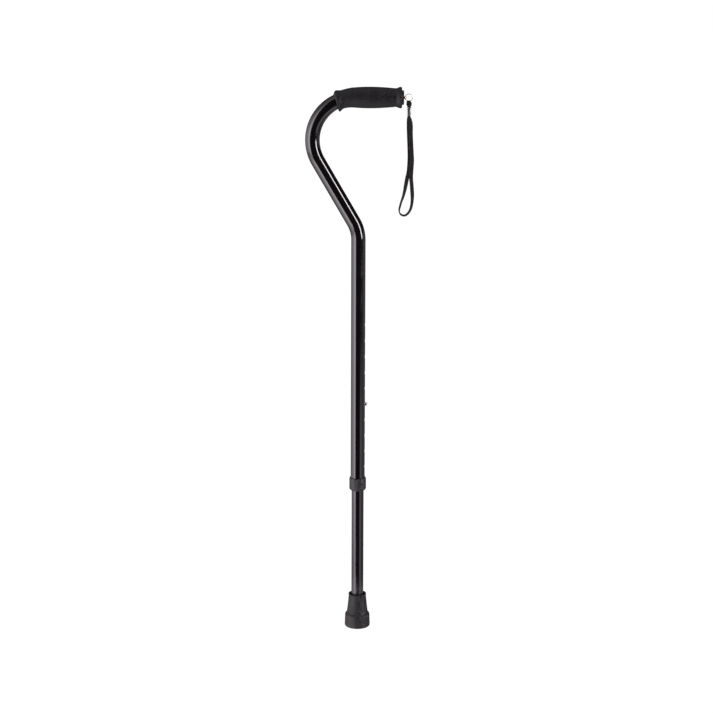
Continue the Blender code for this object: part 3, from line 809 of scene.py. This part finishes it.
def flatted_ring(flat_r, z, ease):
    """A ring on a regular outline with COLLAR_FLATS flats and eased corners."""
    facet = 2 * math.pi / COLLAR_FLATS
    sides = 12 * COLLAR_FLATS
    points = []
    for i in range(sides):
        turn = 2 * math.pi * i / sides
        off_flat = (turn + facet / 2) % facet - facet / 2
        limit = facet / 2 - math.radians(2.2)
        radius = flat_r / math.cos(ease * min(abs(off_flat), limit))
        points.append(Vector((radius * math.cos(turn), radius * math.sin(turn), z)))
    return points


def make_collar(material):
    sides = 12 * COLLAR_FLATS
    nut_bore = SLEEVE_R + 0.00025
    cone_r = 0.01125
    leg_clear_r = LOWER_R + 0.0004
    top = COLLAR_HEIGHT
    outside = rounded(
        (
            (leg_clear_r, 0.0, 0),
            (0.0112, 0.0, 1.0),
            (0.0118, 0.0004, 1.0),
            (COLLAR_FLAT_R, 0.0028, 1.4),
            (COLLAR_FLAT_R, top - 0.0028, 1.4),
            (COLLAR_FLAT_R - 0.0007, top - 0.0001, 1.0),
            (nut_bore + 0.0002, top, 0),
        ),
        0.0005,
        closed=False,
    )
    inside = (
        (nut_bore, top - 0.0006),
        (nut_bore, 0.0084),
        (cone_r, 0.0028),
        (cone_r, 0.0024),
        (leg_clear_r, 0.0018),
        (leg_clear_r, 0.0003),
    )
    rings = []
    for radius, z in outside:
        share = min(max((radius - 0.0114) / 0.0012, 0), 1)
        rings.append(flatted_ring(radius, z, share))
    rings += [circle(radius, z, sides) for radius, z in inside]
    bm = lofted(rings, wrap=True)
    bmesh.ops.translate(bm, vec=(0, 0, COLLAR_Z), verts=bm.verts)
    collar = add_piece("locking_nut", bm, material, math.radians(24))
    return hand_over(collar, "lock_collar")


def make_tip(material):
    """Rubber tip with a ringed tread, a rounded band, a flared neck and a lipped mouth."""
    centre_r = 0.0015
    lean = 0.0003
    profile = [(centre_r, 0, 0)]
    for inner, outer in TREAD_GROOVES:
        profile += [(inner, 0), (inner + lean, TREAD_DEPTH)]
        profile += [(outer - lean, TREAD_DEPTH), (outer, 0)]
    foot, band = TIP_FOOT_R, TIP_BAND_TOP
    profile += [(foot - 0.0008, 0, 2.0), (foot, 0.0016, 3.0)]
    profile += [(foot - 0.0007, band - 0.0006, 5.0), (foot - 0.0026, band + 0.0017, 5.0)]
    neck_top = TIP_HEIGHT - 0.0022
    shoulder = band + 0.0030
    for i in range(11):
        share = 1 - i / 10
        flare = 0.7 * share + 0.3 * share**2
        radius = TIP_NECK_R - 0.0004 + (TIP_SHOULDER_R - TIP_NECK_R + 0.0004) * flare
        profile.append((radius, shoulder + (neck_top - shoulder) * (1 - share), 0))
    lip_r = TIP_NECK_R
    profile += [(lip_r, neck_top + 0.0004, 1.5), (lip_r, TIP_HEIGHT - 0.0001, 2.4)]
    profile += [(lip_r - 0.0026, TIP_HEIGHT, 1.2), (lip_r - 0.0030, TIP_HEIGHT - 0.0030, 0)]
    bore_r = LOWER_R + GAP
    profile += [(bore_r, TIP_HEIGHT - 0.0075, 0), (bore_r, TIP_FLOOR_Z, 0), (centre_r, TIP_FLOOR_Z, 0)]
    bm = turned(rounded(profile, 0.0003, closed=False), 128, wrap=False)
    tip = add_piece("rubber_tip", bm, material)
    return hand_over(tip, "ferrule")


# ---------------------------------------------------------------- materials


def node(tree, kind, inputs=None, **settings):
    """A shader node with its settings, and its inputs set to values or linked to sockets."""
    made = tree.nodes.new("ShaderNode" + kind)
    for key, value in settings.items():
        setattr(made, key, value)
    for key, value in (inputs or {}).items():
        if isinstance(value, bpy.types.NodeSocket):
            tree.links.new(value, made.inputs[key])
        else:
            made.inputs[key].default_value = value
    return made


def maths(tree, operation, a, b=0.0, c=0.0, clamp=False):
    return node(tree, "Math", {0: a, 1: b, 2: c}, operation=operation, use_clamp=clamp).outputs[0]


def times(tree, a, b, clamp=False):
    return maths(tree, "MULTIPLY", a, b, clamp=clamp)


def new_material(name, **constants):
    """A material and its tree, with constant values set on the shader's own sockets."""
    material = bpy.data.materials.new(name)
    material.use_nodes = True
    tree = material.node_tree
    shader = tree.nodes["Principled BSDF"]
    for key, value in constants.items():
        shader.inputs[key.replace("_", " ")].default_value = value
    return material, tree, shader


def place(tree):
    """The piece's own coordinates, which move with it."""
    return node(tree, "TexCoord").outputs["Object"]


def stretched(tree, scale):
    return node(tree, "Mapping", {"Vector": place(tree), "Scale": scale}).outputs[0]


def noise(tree, scale, detail=4.0, rough=0.55, vector=None, distortion=0.0):
    made = node(
        tree,
        "TexNoise",
        {
            "Vector": vector or place(tree),
            "Scale": scale,
            "Detail": detail,
            "Roughness": rough,
            "Distortion": distortion,
        },
    )
    return made.outputs["Fac"]


def spread(tree, value, low, high, start=0.3, stop=0.7):
    """A value between start and stop carried to the range from low to high."""
    made = node(
        tree,
        "MapRange",
        {"Value": value, "From Min": start, "From Max": stop, "To Min": low, "To Max": high},
        interpolation_type="SMOOTHSTEP",
    )
    return made.outputs["Result"]


def two_colours(tree, share, first, second):
    made = node(tree, "Mix", data_type="RGBA", clamp_factor=True)
    for index, value in ((0, share), (6, first), (7, second)):
        if isinstance(value, bpy.types.NodeSocket):
            tree.links.new(value, made.inputs[index])
        else:
            made.inputs[index].default_value = value if index == 0 else (*value, 1.0)
    return made.outputs[2]


def bump(tree, height, strength, distance, normal=None):
    inputs = {"Height": height, "Strength": strength, "Distance": distance}
    if normal:
        inputs["Normal"] = normal
    return node(tree, "Bump", inputs).outputs[0]


def surface(tree, shader, base, rough, normal):
    for name, value in (("Base Color", base), ("Roughness", rough), ("Normal", normal)):
        tree.links.new(value, shader.inputs[name])


def height_band(tree, low, high, soft):
    """1 between two heights on the piece, with soft ends."""
    z = node(tree, "SeparateXYZ", {0: place(tree)}).outputs["Z"]
    rise = spread(tree, z, 0.0, 1.0, low - soft, low)
    fall = spread(tree, z, 1.0, 0.0, high, high + soft)
    return times(tree, rise, fall)


def gloss_enamel():
    """Gloss black powder coat: faint orange peel, handling smudges and hairline scratches,
    rubbed a little where the locking nut is turned."""
    material, tree, shader = new_material("gloss_black_enamel", IOR=1.5)
    smudges = noise(tree, 55.0, 5.0, 0.6)
    lines = noise(tree, 1.0, 3.0, 0.7, stretched(tree, (900, 900, 14)))
    scratch = spread(tree, lines, 0.0, 1.0, 0.66, 0.74)
    rubbed = height_band(tree, 0.2370, 0.2550, 0.012)
    wear = times(tree, scratch, maths(tree, "ADD", 0.12, rubbed), clamp=True)
    base = two_colours(tree, smudges, (0.0013, 0.0009, 0.0010), (0.0021, 0.0016, 0.0017))
    worn = two_colours(tree, wear, base, (0.020, 0.019, 0.020))
    rough = spread(tree, smudges, 0.085, 0.15)
    rough = maths(tree, "ADD", rough, times(tree, wear, 0.25))
    peel = noise(tree, 620.0, 2.0, 0.5)
    surface(tree, shader, worn, rough, bump(tree, peel, 0.10, 0.00002))
    return material


def satin_leg():
    """Satin brown-black finish on drawn tube, with fine lines and marks from sliding."""
    material, tree, shader = new_material("satin_leg_finish", IOR=1.5)
    drawn = noise(tree, 1.0, 4.0, 0.6, stretched(tree, (2600, 2600, 9)))
    cloud = noise(tree, 40.0, 4.0, 0.6)
    slide = noise(tree, 1.0, 3.0, 0.75, stretched(tree, (700, 700, 11)))
    marks = spread(tree, slide, 0.0, 1.0, 0.62, 0.72)
    marks = times(tree, marks, height_band(tree, 0.10, 0.42, 0.05))
    base = two_colours(tree, drawn, (0.0026, 0.0010, 0.0018), (0.0046, 0.0022, 0.0034))
    base = two_colours(tree, times(tree, marks, 0.4), base, (0.016, 0.013, 0.014))
    rough = spread(tree, cloud, 0.10, 0.17)
    rough = maths(tree, "ADD", rough, times(tree, marks, 0.06))
    height = node(tree, "SeparateXYZ", {0: place(tree)}).outputs["Z"]
    base = two_colours(tree, spread(tree, height, 0.6, 0.0, 0.060, 0.085), base, (0.022, 0.018, 0.020))
    rough = maths(tree, "ADD", rough, spread(tree, height, 0.22, 0.0, 0.060, 0.092))
    surface(tree, shader, base, rough, bump(tree, drawn, 0.06, 0.00001))
    return material


def grained_rubber(name, dark, light, rough_low, rough_high, grain, dust=None, level=0.5):
    """Moulded rubber: fine grain, a clouded surface and, with dust, a paler foot."""
    material, tree, shader = new_material(name, IOR=1.5, Specular_IOR_Level=level)
    cloud = noise(tree, 70.0, 5.0, 0.65)
    fine = noise(tree, grain, 3.0, 0.6)
    cells = node(tree, "TexVoronoi", {"Vector": place(tree), "Scale": grain * 0.8}).outputs["Distance"]
    base = two_colours(tree, spread(tree, cloud, 0.0, 1.0), dark, light)
    if dust:
        amount, colour, top = dust
        z = node(tree, "SeparateXYZ", {0: place(tree)}).outputs["Z"]
        low = spread(tree, z, 1.0, 0.0, 0.0, top)
        speckle = spread(tree, noise(tree, 420.0, 4.0, 0.7), 0.25, 1.0, 0.35, 0.7)
        dusty = times(tree, times(tree, low, speckle), amount)
        base = two_colours(tree, dusty, base, colour)
    rough = spread(tree, cloud, rough_low, rough_high)
    height = maths(tree, "ADD", times(tree, fine, 0.6), times(tree, cells, 0.4))
    surface(tree, shader, base, rough, bump(tree, height, 0.20, 0.00010))
    return material


def moulded_nylon(name, dark, light, rough_low, rough_high, grain_depth=0.00006, **constants):
    """Moulded nylon: a spark-eroded grain with soft sheen and slight clouding."""
    material, tree, shader = new_material(name, IOR=1.53, **constants)
    cloud = noise(tree, 90.0, 4.0, 0.6)
    grain = noise(tree, 1500.0, 3.0, 0.65)
    base = two_colours(tree, spread(tree, cloud, 0.0, 1.0), dark, light)
    rough = spread(tree, cloud, rough_low, rough_high)
    surface(tree, shader, base, rough, bump(tree, grain, 0.4, grain_depth))
    return material


def metal(name, dark, light, rough_low, rough_high, lines=(1800, 1800, 40), line_depth=0.00001):
    """Bare or plated metal with turning or drawing lines and a slight tarnish."""
    material, tree, shader = new_material(name, Metallic=1.0)
    brushed = noise(tree, 1.0, 3.0, 0.6, stretched(tree, lines))
    tarnish = noise(tree, 450.0, 4.0, 0.65)
    base = two_colours(tree, spread(tree, tarnish, 0.0, 1.0), dark, light)
    lined = spread(tree, brushed, rough_low, rough_high)
    rough = maths(tree, "ADD", lined, times(tree, tarnish, 0.05))
    surface(tree, shader, base, rough, bump(tree, brushed, 0.3, line_depth))
    return material


def woven_tape():
    """Plain-woven polyester tape: warp cords along it, crossed by picks, with fuzz and a
    brown cast in the black."""
    material, tree, shader = new_material("black_woven_tape", Specular_IOR_Level=0.2)
    shader.inputs["Sheen Weight"].default_value = 0.14
    shader.inputs["Sheen Roughness"].default_value = 0.45
    shader.inputs["Sheen Tint"].default_value = (0.55, 0.50, 0.50, 1.0)
    uv = node(tree, "SeparateXYZ", {0: node(tree, "UVMap", uv_map="strip").outputs[0]})
    cord = maths(tree, "DIVIDE", uv.outputs["X"], 0.00055)
    pick = maths(tree, "DIVIDE", uv.outputs["Y"], 0.00085)
    stagger = times(tree, maths(tree, "FLOOR", cord), 0.5)
    across = maths(tree, "ABSOLUTE", maths(tree, "SINE", times(tree, cord, math.pi)))
    shifted = times(tree, maths(tree, "ADD", pick, stagger), 2 * math.pi)
    along = maths(tree, "ADD", 0.5, times(tree, maths(tree, "SINE", shifted), 0.5))
    weave = times(tree, across, maths(tree, "ADD", 0.45, times(tree, along, 0.55)))
    fuzz = noise(tree, 2600.0, 3.0, 0.7)
    cloud = noise(tree, 60.0, 4.0, 0.6)
    base = two_colours(tree, weave, (0.0022, 0.0018, 0.0020), (0.0098, 0.0078, 0.0088))
    base = two_colours(tree, spread(tree, cloud, 0.0, 0.5), base, (0.0118, 0.0084, 0.0094))
    height = maths(tree, "ADD", weave, times(tree, fuzz, 0.25))
    surface(tree, shader, base, spread(tree, fuzz, 0.78, 0.92), bump(tree, height, 0.8, 0.00012))
    return material


# ---------------------------------------------------------------- studio


def make_camera():
    data = bpy.data.cameras.new("camera")
    data.lens = CAMERA_LENS
    data.sensor_width = SENSOR
    camera = bpy.data.objects.new("camera", data)
    bpy.context.scene.collection.objects.link(camera)
    turn = Matrix.Rotation(CAMERA_PITCH, 4, "X") @ Matrix.Rotation(CAMERA_ROLL, 4, "Z")
    camera.matrix_world = Matrix.Translation(CAMERA_AT) @ turn
    bpy.context.scene.camera = camera


def make_floor():
    """A wide pale floor that throws soft light up. It lies just under the lowest place the tip
    reaches, so that a leg drawn out to its limit is still seen. It is left out of mirror-like
    reflections."""
    bm = bmesh.new()
    reach = 30.0
    bmesh.ops.create_grid(bm, x_segments=4, y_segments=4, size=reach)
    material, tree, shader = new_material("pale_floor", Specular_IOR_Level=0.0)
    tone = noise(tree, 3.0, 2.0, 0.5)
    colour = two_colours(tree, tone, (0.115, 0.115, 0.115), (0.13, 0.13, 0.13))
    tree.links.new(colour, shader.inputs["Base Color"])
    shader.inputs["Roughness"].default_value = 0.9
    shader.inputs["Emission Color"].default_value = (1.0, 1.0, 1.0, 1.0)
    shader.inputs["Emission Strength"].default_value = 0.88
    floor = add_piece("floor", bm, material)
    floor.location.z = FLOOR_AT_Z
    floor.visible_glossy = False


def ramp(tree, value, points):
    """A piecewise-linear curve through (position, level) points."""
    made = node(tree, "FloatCurve", {"Value": value})
    low, high = points[0][0], points[-1][0]
    top = max(level for _, level in points)
    curve = made.mapping.curves[0]
    made.mapping.extend = "HORIZONTAL"
    for i, (position, level) in enumerate(points):
        spot = ((position - low) / (high - low), level / top)
        if i < 2:
            curve.points[i].location = spot
        else:
            curve.points.new(*spot)
    for point in curve.points:
        point.handle_type = "VECTOR"
    made.mapping.update()
    scaled = maths(tree, "DIVIDE", maths(tree, "SUBTRACT", value, low), high - low, clamp=True)
    tree.links.new(scaled, made.inputs["Value"])
    return times(tree, made.outputs[0], top)


# Brightness of the room by bearing: 0 is towards the camera, negative to its left.
ROOM_BY_BEARING = (
    (-180, 0.08),
    (-165, 0.12),
    (-150, 0.28),
    (-130, 0.80),
    (-101, 2.50),
    (-79, 3.80),
    (-60, 7.40),
    (-43, 7.60),
    (-38, 0.07),
    (20, 0.05),
    (30, 0.10),
    (70, 0.12),
    (84, 0.60),
    (95, 0.70),
    (117, 0.48),
    (140, 0.22),
    (160, 0.10),
    (180, 0.08),
)
# How far the side lights reach up and down, by elevation.
SIDE_BY_ELEVATION = (
    (-90, 0.30),
    (-50, 0.60),
    (-36, 1.08),
    (-25, 1.02),
    (-22.5, 0.50),
    (-20, 0.45),
    (-18.7, 0.84),
    (-15.5, 0.88),
    (-12, 1.0),
    (4, 1.0),
    (19, 0.68),
    (33, 0.34),
    (43, 0.17),
    (60, 0.10),
    (90, 0.08),
)
# Ceiling and floor bounce, by elevation.
ENDS_BY_ELEVATION = ((-90, 0.8), (-60, 0.5), (-28, 0.0), (35, 0.0), (70, 0.8), (90, 1.5))
ROOM_TINT = (1.0, 0.93, 1.01, 1.0)
LOW_LEAN = 16.0
STRIP_BEARING = 59.0
STRIP_HALF = 6.5
STRIP_LOW = -5.5
STRIP_HIGH = 34.0
STRIP_LEVEL = 26.0
PATCH_LEVEL = 1.4
DIFFUSE_LEVEL = 1.25


def make_room():
    """Soft studio surroundings: a broad light on the left, a dim front, a narrow strip light
    at the right, a bright ceiling, and plain white behind everything."""
    world = bpy.data.worlds.new("studio")
    bpy.context.scene.world = world
    world.use_nodes = True
    tree = world.node_tree
    tree.nodes.clear()
    direction = node(tree, "SeparateXYZ", {0: node(tree, "TexCoord").outputs["Generated"]})
    x, y, z = direction.outputs[0], direction.outputs[1], direction.outputs[2]
    to_degrees = 180 / math.pi
    away = times(tree, y, -1.0)
    bearing = times(tree, maths(tree, "ARCTAN2", x, away), to_degrees)
    elevation = times(tree, maths(tree, "ARCSINE", z), to_degrees)
    leaning = times(tree, spread(tree, elevation, 1.0, 0.0, -25.0, -21.0), LOW_LEAN)
    leaned = maths(tree, "SUBTRACT", bearing, leaning)
    around = ramp(tree, leaned, ROOM_BY_BEARING)
    sides = times(tree, around, ramp(tree, elevation, SIDE_BY_ELEVATION))
    far_right = spread(tree, bearing, 0.0, 1.0, 64.0, 80.0)
    raised = spread(tree, elevation, 0.0, 0.9, -3.0, 8.0)
    shade = maths(tree, "SUBTRACT", 1.0, times(tree, far_right, raised))
    sides = times(tree, sides, shade)
    room = maths(tree, "ADD", sides, ramp(tree, elevation, ENDS_BY_ELEVATION))
    off = maths(tree, "ABSOLUTE", maths(tree, "SUBTRACT", bearing, STRIP_BEARING))
    across = spread(tree, off, 1.0, 0.0, STRIP_HALF - 1.5, STRIP_HALF + 1.5)
    rise = spread(tree, elevation, 0.0, 1.0, STRIP_LOW - 2, STRIP_LOW + 2)
    fall = spread(tree, elevation, 1.0, 0.0, STRIP_HIGH - 3, STRIP_HIGH + 3)
    strip = times(tree, times(tree, across, rise), fall)
    strip = times(tree, strip, STRIP_LEVEL)
    near_floor = spread(tree, elevation, 1.0, 0.0, -16.0, -12.0)
    patch_start = spread(tree, bearing, 0.0, 1.0, 30.0, 42.0)
    patch_end = spread(tree, bearing, 1.0, 0.0, 58.0, 84.0)
    patch = times(tree, times(tree, patch_start, patch_end), near_floor)
    patch = times(tree, patch, PATCH_LEVEL)
    glossy = maths(tree, "ADD", maths(tree, "ADD", room, strip), patch)
    path = node(tree, "LightPath")
    mirror = node(tree, "Background", {"Strength": glossy, "Color": ROOM_TINT}).outputs[0]
    soft = node(tree, "Background", {"Strength": DIFFUSE_LEVEL, "Color": (1, 1, 1, 1)}).outputs[0]
    white = node(tree, "Background", {"Strength": 1.0, "Color": (1, 1, 1, 1)}).outputs[0]
    seen = node(tree, "MixShader", {0: path.outputs["Is Glossy Ray"], 1: soft, 2: mirror}).outputs[0]
    final = node(tree, "MixShader", {0: path.outputs["Is Camera Ray"], 1: seen, 2: white}).outputs[0]
    output = node(tree, "OutputWorld")
    tree.links.new(final, output.inputs["Surface"])
    bpy.context.scene.view_settings.view_transform = "Standard"


# ---------------------------------------------------------------- build


def recolour(name, material):
    """A CAD node that shows as it is takes a detailed material."""
    mesh = frame["nodes"][name].data
    mesh.materials.clear()
    mesh.materials.append(material)


def build():
    enamel = gloss_enamel()
    leg = satin_leg()
    dark, light = (0.0036, 0.0032, 0.0035), (0.0056, 0.0051, 0.0054)
    grip = grained_rubber("charcoal_grip_rubber", dark, light, 0.50, 0.60, 900.0, level=0.22)
    dust = (0.30, (0.030, 0.028, 0.026), 0.012)
    dark, light = (0.0036, 0.0028, 0.0034), (0.0064, 0.0052, 0.0061)
    rubber = grained_rubber("dark_grey_rubber", dark, light, 0.56, 0.70, 700.0, dust, level=0.32)
    dark, light = (0.0045, 0.0042, 0.0046), (0.0072, 0.0066, 0.0072)
    nylon = moulded_nylon("black_nylon", dark, light, 0.50, 0.62, Specular_IOR_Level=0.34)
    pale_nylon = moulded_nylon("natural_nylon", (0.62, 0.60, 0.54), (0.72, 0.70, 0.65), 0.38, 0.50)
    pale_nylon.node_tree.nodes["Principled BSDF"].inputs["Subsurface Weight"].default_value = 0.1
    brass = metal("stud_brass_metal", (0.60, 0.33, 0.085), (0.78, 0.47, 0.15), 0.20, 0.34)
    chrome = metal("ring_chrome", (0.72, 0.72, 0.74), (0.86, 0.86, 0.87), 0.06, 0.13, (300, 300, 300))
    crimp_metal = metal("crimp_sheet", (0.23, 0.23, 0.24), (0.32, 0.32, 0.33), 0.46, 0.56, (2400, 2400, 60))
    button_metal = metal("button_nickel", (0.42, 0.41, 0.40), (0.55, 0.54, 0.53), 0.22, 0.34)
    spring_metal = metal("spring_strip", (0.38, 0.38, 0.40), (0.52, 0.52, 0.54), 0.28, 0.40, (2400, 80, 80))
    washer_metal = metal("washer_plate", (0.55, 0.55, 0.56), (0.68, 0.68, 0.69), 0.25, 0.38)
    tape = woven_tape()

    make_upper_tube(enamel)
    make_lower_tube(leg)
    make_button(button_metal)
    make_spring(spring_metal)
    make_grip(grip)
    make_end_plug(nylon)
    make_stud(brass)
    make_split_ring(chrome)
    fold = make_ring_loop(tape)
    crimp = make_crimp(crimp_metal)
    loop, path, length = make_wrist_loop(tape)
    make_collar(nylon)
    make_tip(rubber)
    recolour("collet_bushing", pale_nylon)
    recolour("leg_top_bushing", pale_nylon)
    recolour("ferrule_washer", washer_metal)

    make_floor()
    make_room()
    make_camera()


build()
